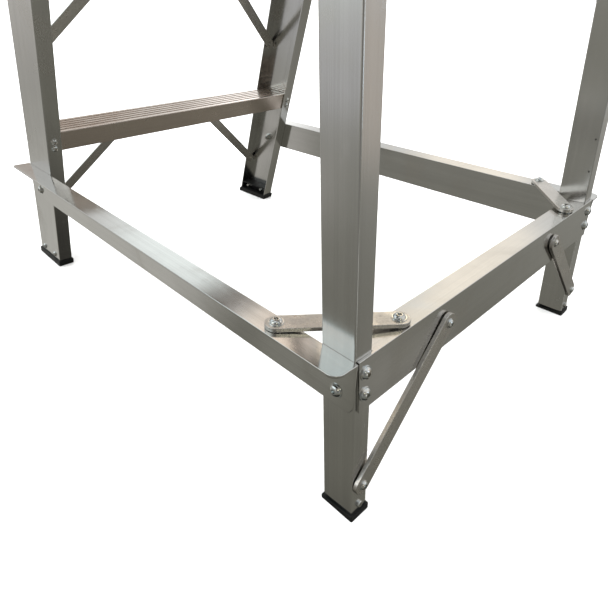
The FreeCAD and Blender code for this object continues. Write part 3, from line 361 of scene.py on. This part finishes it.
# ---------------------------------------------------------------- repeated small shapes
class Tree:
    """A Geometry Nodes tree with named inputs."""

    def __init__(self, name, inputs):
        self.tree = bpy.data.node_groups.new(name, "GeometryNodeTree")
        self.tree.interface.new_socket("Geometry", in_out="INPUT", socket_type="NodeSocketGeometry")
        self.sockets = {}
        for label, kind in inputs.items():
            made = self.tree.interface.new_socket(label, in_out="INPUT",
                                                  socket_type="NodeSocket" + kind)
            self.sockets[label] = made.identifier
        self.tree.interface.new_socket("Geometry", in_out="OUTPUT", socket_type="NodeSocketGeometry")
        self.given = self.tree.nodes.new("NodeGroupInput")

    def node(self, kind, settings=None, sockets=None):
        """Adds a node; a socket's value is a number, an output socket or the name of an input."""
        made = self.tree.nodes.new(kind)
        for name, value in (settings or {}).items():
            setattr(made, name, value)
        for name, value in (sockets or {}).items():
            if isinstance(value, str):
                value = self.given.outputs[value]
            if isinstance(value, bpy.types.NodeSocket):
                self.tree.links.new(value, made.inputs[name])
            else:
                made.inputs[name].default_value = value
        return made

    def end(self, instances):
        """Realize Instances, Set Material and the output."""
        real = self.node("GeometryNodeRealizeInstances", None, {"Geometry": instances})
        coated = self.node("GeometryNodeSetMaterial", None,
                           {"Geometry": real.outputs[0], "Material": "Finish"})
        self.node("NodeGroupOutput", None, {"Geometry": coated.outputs[0]})

    def mesh(self, name, values, points=(), directions=()):
        """The tree's result for these input values, as a plain mesh object's data."""
        seed_mesh = bpy.data.meshes.new(name + "_points")
        seed_mesh.from_pydata([tuple(point) for point in points], [], [])
        if directions:
            run = seed_mesh.attributes.new("run", "FLOAT_VECTOR", "POINT")
            run.data.foreach_set("vector", [part for run_to in directions for part in run_to])
        holder = bpy.data.objects.new(name + "_maker", seed_mesh)
        bpy.context.scene.collection.objects.link(holder)
        modifier = holder.modifiers.new("make", "NODES")
        modifier.node_group = self.tree
        for label, value in values.items():
            modifier[self.sockets[label]] = value
        bpy.context.view_layer.update()
        made = bpy.data.meshes.new_from_object(
            holder.evaluated_get(bpy.context.evaluated_depsgraph_get()))
        holder.modifiers.clear()
        bpy.data.objects.remove(holder)
        return made


def shown_piece(name, meshes):
    """Joins meshes into one piece that rides on the body."""
    joined = bmesh.new()
    for mesh in meshes:
        joined.from_mesh(mesh)
    bmesh.ops.recalc_face_normals(joined, faces=joined.faces)
    result = meshes[0]
    joined.to_mesh(result)
    joined.free()
    result.name = name
    piece = bpy.data.objects.new(name, result)
    bpy.context.scene.collection.objects.link(piece)
    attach(piece, "root")
    return piece


def loose_solids(name):
    """Point lists of the separate solids in a CAD node, from a merged copy of its mesh."""
    copy = bmesh.new()
    copy.from_mesh(nodes[name].data)
    bmesh.ops.remove_doubles(copy, verts=copy.verts, dist=0.002 * MM)
    seen, solids = set(), []
    for start in copy.verts:
        if start in seen:
            continue
        seen.add(start)
        front, solid = [start], []
        while front:
            vertex = front.pop()
            solid.append(vertex.co.copy())
            for edge in vertex.link_edges:
                other = edge.other_vert(vertex)
                if other not in seen:
                    seen.add(other)
                    front.append(other)
        solids.append(solid)
    copy.free()
    return solids


def bolt_end(points):
    """Middles of a bolt's two ends, and the direction from the first to the second."""
    far = max(points, key=lambda p: (p - points[0]).length)
    near_end = max(points, key=lambda p: (p - far).length)
    guess = (far - near_end).normalized()
    for _ in range(6):
        reach = [p.dot(guess) for p in points]
        first = [p for p, r in zip(points, reach) if r < min(reach) + 0.25 * MM]
        last = [p for p, r in zip(points, reach) if r > max(reach) - 0.25 * MM]
        ends = [(sum(group, Vector()) / len(group)) for group in (first, last)]
        guess = (ends[1] - ends[0]).normalized()
    return ends, guess


def thread_tree():
    """A short length of screw thread on each point, running along the point's direction."""
    tree = Tree("screw thread", {"Thread Radius": "Float", "Thread Length": "Float",
                                 "Turns": "Float", "Ridge": "Float", "Finish": "Material"})
    helix = tree.node("GeometryNodeCurveSpiral", None, {
        "Resolution": 14, "Rotations": "Turns", "Start Radius": "Thread Radius",
        "End Radius": "Thread Radius", "Height": "Thread Length"})
    ridge = tree.node("GeometryNodeCurvePrimitiveCircle", None, {"Resolution": 3, "Radius": "Ridge"})
    thread = tree.node("GeometryNodeCurveToMesh", None, {
        "Curve": helix.outputs[0], "Profile Curve": ridge.outputs[0], "Fill Caps": True})
    run = tree.node("GeometryNodeInputNamedAttribute", {"data_type": "FLOAT_VECTOR"})
    run.inputs["Name"].default_value = "run"
    turn = tree.node("FunctionNodeAlignRotationToVector", {"axis": "Z"},
                     {"Vector": run.outputs[0]})
    placed = tree.node("GeometryNodeInstanceOnPoints", None, {
        "Points": "Geometry", "Instance": thread.outputs[0], "Rotation": turn.outputs[0]})
    tree.end(placed.outputs[0])
    return tree


THREAD_TURNS = 6.0          # turns that are modelled at a bolt's plain end
THREAD_SINK = 0.10 * MM     # how far the ridge's middle lies inside the shank
RIDGE_SHARE = 0.30          # ridge radius as a share of the pitch
END_SLICE = 0.3 * MM        # thickness of the slice that tells a plain end from a head


def bolt_threads(steel):
    """Threads on the plain ends of the bolts that have loose nuts."""
    tree = thread_tree()
    groups = {"m8": (("side_rail_bolts", "gusset_bolts"), 3.9 * MM, 1.25 * MM),
              "m6": (("step_bolts", "stile_foot_bolts", "guard_bolts"), 2.9 * MM, 1.0 * MM)}
    for word, (names, shank, pitch) in groups.items():
        places, runs = [], []
        for name in names:
            for points in loose_solids(name):
                ends, run = bolt_end(points)
                spread = [max((p - end).cross(run).length for p in points
                              if abs((p - end).dot(run)) < END_SLICE) for end in ends]
                tip, toward = (ends[0], run) if spread[0] < spread[1] else (ends[1], -run)
                places.append(tip)
                runs.append(toward)
        made = tree.mesh(word + "_threads", {
            "Thread Radius": shank - THREAD_SINK, "Thread Length": THREAD_TURNS * pitch,
            "Turns": THREAD_TURNS, "Ridge": RIDGE_SHARE * pitch, "Finish": steel}, places, runs)
        shown_piece(word + "_threads", [made])


# ---------------------------------------------------------------- floor, light and camera
def aim(azimuth, elevation):
    """Unit direction; azimuth from +X towards +Y, both in degrees."""
    turn, rise = math.radians(azimuth), math.radians(elevation)
    return Vector((math.cos(turn) * math.cos(rise), math.sin(turn) * math.cos(rise), math.sin(rise)))


SKY = (     # elevation in degrees, and the colour that bare metal mirrors from there
    (-90, (0.03, 0.029, 0.025)), (-57, (0.045, 0.043, 0.038)), (-50.5, (0.20, 0.195, 0.165)),
    (-30, (0.22, 0.215, 0.185)), (-20, (0.28, 0.275, 0.245)), (-10, (0.35, 0.345, 0.315)),
    (-3, (0.52, 0.505, 0.475)), (8, (0.78, 0.75, 0.72)), (16, (0.82, 0.815, 0.80)),
    (25, (0.98, 1.0, 1.0)), (42, (0.88, 0.90, 0.90)), (60, (0.84, 0.86, 0.87)),
    (90, (0.90, 0.92, 0.93)))
GLOWS = (   # patches set over it: azimuth, elevation, inner and outer radius, colour
    (-45, 20, 25, 50, (0.22, 0.215, 0.20)),
    (-30, 31, 3, 9, (2.6, 2.5, 1.95)),
    (-130, 35, 20, 36, (1.25, 1.42, 1.45)),
    (-129.5, 27.5, 4, 8, (2.3, 1.85, 1.6)),
    (-112, 20, 3, 9, (2.0, 1.92, 1.88)),
    (52, 28, 3, 10, (1.8, 1.7, 1.65)),
    (150, 68, 4, 11, (2.0, 2.0, 2.0)),
    (-158, -22, 6, 18, (0.58, 0.57, 0.53)),
    (-139, -17, 2, 6, (0.60, 0.58, 0.55)),
    (-132, -4, 3, 7, (0.62, 0.62, 0.64)),
    (-107, -6, 3, 10, (0.25, 0.245, 0.21)),
    (-135, -37, 2, 8, (0.30, 0.295, 0.26)),
    (55, -35, 3, 9, (0.30, 0.29, 0.26)),
    (120, -37, 8, 20, (1.8, 1.7, 1.55)),
    (17, -9, 9, 15, (0.17, 0.155, 0.12)),
    (18, -23, 3, 8, (1.7, 1.7, 1.65)),
    (32, 1, 3, 7, (2.3, 2.8, 3.3)),
    (50, -2, 3, 12, (0.62, 0.56, 0.50)),
    (160, 11, 2, 9, (0.42, 0.34, 0.28)),
    (140, 9, 3, 9, (2.1, 2.1, 2.1)),
    (149, 27, 4, 11, (1.3, 1.38, 1.37)),
    (134, 38, 4, 11, (1.45, 1.22, 1.02)),
    (123, 35, 2, 7, (2.3, 2.0, 1.5)),
    (117, 23, 4, 8, (1.42, 1.31, 1.15)))


def studio_light():
    """Uneven surroundings for the metal to mirror, plain white behind, and one broad lamp."""
    world = bpy.data.worlds.new("studio")
    bpy.context.scene.world = world
    sky = Shader(world)
    looking = sky.coordinates("Generated")
    z = sky.node("ShaderNodeSeparateXYZ", None, {0: looking}, output=2)
    stops = [((math.sin(math.radians(degrees)) + 1) / 2, colour) for degrees, colour in SKY]
    light = sky.node("ShaderNodeValToRGB", {"stops": stops}, {0: z * 0.5 + 0.5})
    for azimuth, elevation, inner, outer, colour in GLOWS:
        facing = sky.node("ShaderNodeVectorMath", {"operation": "DOT_PRODUCT"},
                          {0: looking, 1: aim(azimuth, elevation)}, output=1)
        glow = facing.ramp(math.cos(math.radians(outer)), math.cos(math.radians(inner)))
        light = sky.mix(glow, light, colour)
    studio = sky.node("ShaderNodeBackground", None, {"Color": light, "Strength": 1.0})
    plain = sky.node("ShaderNodeBackground", None, {"Color": (1, 1, 1, 1), "Strength": 1.0})
    seen = sky.node("ShaderNodeLightPath")
    shown = sky.node("ShaderNodeMixShader", None, {0: seen, 1: studio, 2: plain})
    sky.node("ShaderNodeOutputWorld", None, {"Surface": shown})

    lamp = bpy.data.lights.new("overhead", "SUN")
    lamp.energy, lamp.angle = 4.2, math.radians(165)
    overhead = bpy.data.objects.new("overhead", lamp)
    overhead.visible_glossy = False
    bpy.context.scene.collection.objects.link(overhead)


def pale_floor():
    reach, floor_level = 30.0, 0.0
    mesh = bpy.data.meshes.new("floor")
    corners = [(x * reach, y * reach, floor_level) for x, y in ((-1, -1), (1, -1), (1, 1), (-1, 1))]
    mesh.from_pydata(corners, [], [(0, 1, 2, 3)])
    material = bpy.data.materials.new("pale_floor")
    shader = Shader(material)
    soft = shader.noise(shader.coordinates(), 1.2, 2.0)
    colour = shader.mix(soft, (0.93, 0.93, 0.93), (0.95, 0.95, 0.95))
    surface = shader.node("ShaderNodeBsdfPrincipled", None, {
        "Base Color": colour, "Roughness": 0.9, "Specular IOR Level": 0.0})
    shader.node("ShaderNodeOutputMaterial", None, {"Surface": surface})
    mesh.materials.append(material)
    floor = bpy.data.objects.new("floor", mesh)
    floor.visible_glossy = False
    bpy.context.scene.collection.objects.link(floor)


def camera():
    """Low three-quarter view from behind the right rear leg, close in and looking down."""
    eye, heading, tilt, roll = Vector((0.6776, -0.5995, 0.5210)), 134.960, -32.968, 0.488
    forward = aim(heading, tilt)
    right = forward.cross(UP).normalized()
    up = right.cross(forward)
    lean = math.radians(roll)
    right, up = (right * math.cos(lean) + up * math.sin(lean),
                 up * math.cos(lean) - right * math.sin(lean))
    lens = bpy.data.cameras.new("camera")
    lens.sensor_width, lens.lens = 36.0, 28.94
    lens.clip_start, lens.clip_end = 0.01, 100.0
    view = bpy.data.objects.new("camera", lens)
    view.matrix_world = Matrix.Translation(eye) @ Matrix((right, up, -forward)).transposed().to_4x4()
    bpy.context.scene.collection.objects.link(view)
    bpy.context.scene.camera = view


dress_members()
zinc = dress_fittings()
bolt_threads(zinc)
studio_light()
pale_floor()
camera()
bpy.context.scene.view_settings.view_transform = "Standard"
